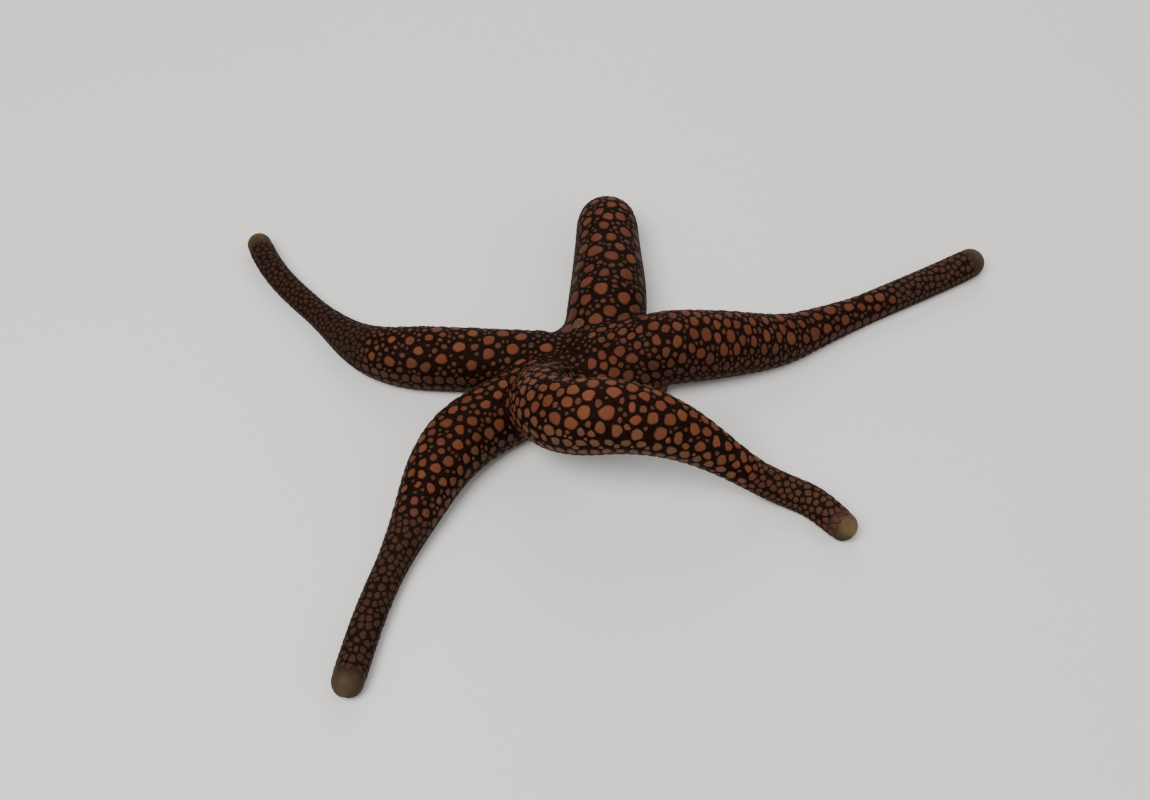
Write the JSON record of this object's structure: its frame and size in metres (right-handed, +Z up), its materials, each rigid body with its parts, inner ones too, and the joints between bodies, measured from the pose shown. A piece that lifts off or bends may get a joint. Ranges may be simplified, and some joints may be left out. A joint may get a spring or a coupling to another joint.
{
  "type": "nardoa sea star",
  "caption": "Life-size still model of a tropical sea star with long round arms, one short and one arched, covered in raised plates, for display.",
  "frame": {"origin": "middle of the bounding box, on the ground that the soles lie on", "axes": "+Z up; +Y towards the short arm at the back; +X to the right when looking along +Y"},
  "size_m": [0.1796, 0.1355, 0.0286],
  "materials": {
    "plated_skin": "near-black brown granular skin with raised terracotta plates, matt with a damp sheen",
    "arm_cap": "smooth olive-brown skin over the last plate of the arm",
    "sieve_plate": "tan chalky plate with fine winding grooves"
  },
  "bodies": {
    "root": {"arm_back_outer": "plated_skin", "arm_back_root": "plated_skin", "arm_back_tip": "arm_cap", "arm_front_left_middle": "plated_skin", "arm_front_left_outer": "plated_skin", "arm_front_left_root": "plated_skin", "arm_front_left_tip": "arm_cap", "arm_front_right_middle": "plated_skin", "arm_front_right_outer": "plated_skin", "arm_front_right_root": "plated_skin", "arm_front_right_tip": "arm_cap", "arm_left_middle": "plated_skin", "arm_left_outer": "plated_skin", "arm_left_root": "plated_skin", "arm_left_tip": "arm_cap", "arm_right_middle": "plated_skin", "arm_right_outer": "plated_skin", "arm_right_root": "plated_skin", "arm_right_tip": "arm_cap", "disc": "plated_skin", "madreporite": "sieve_plate"}
  },
  "joints": []
}
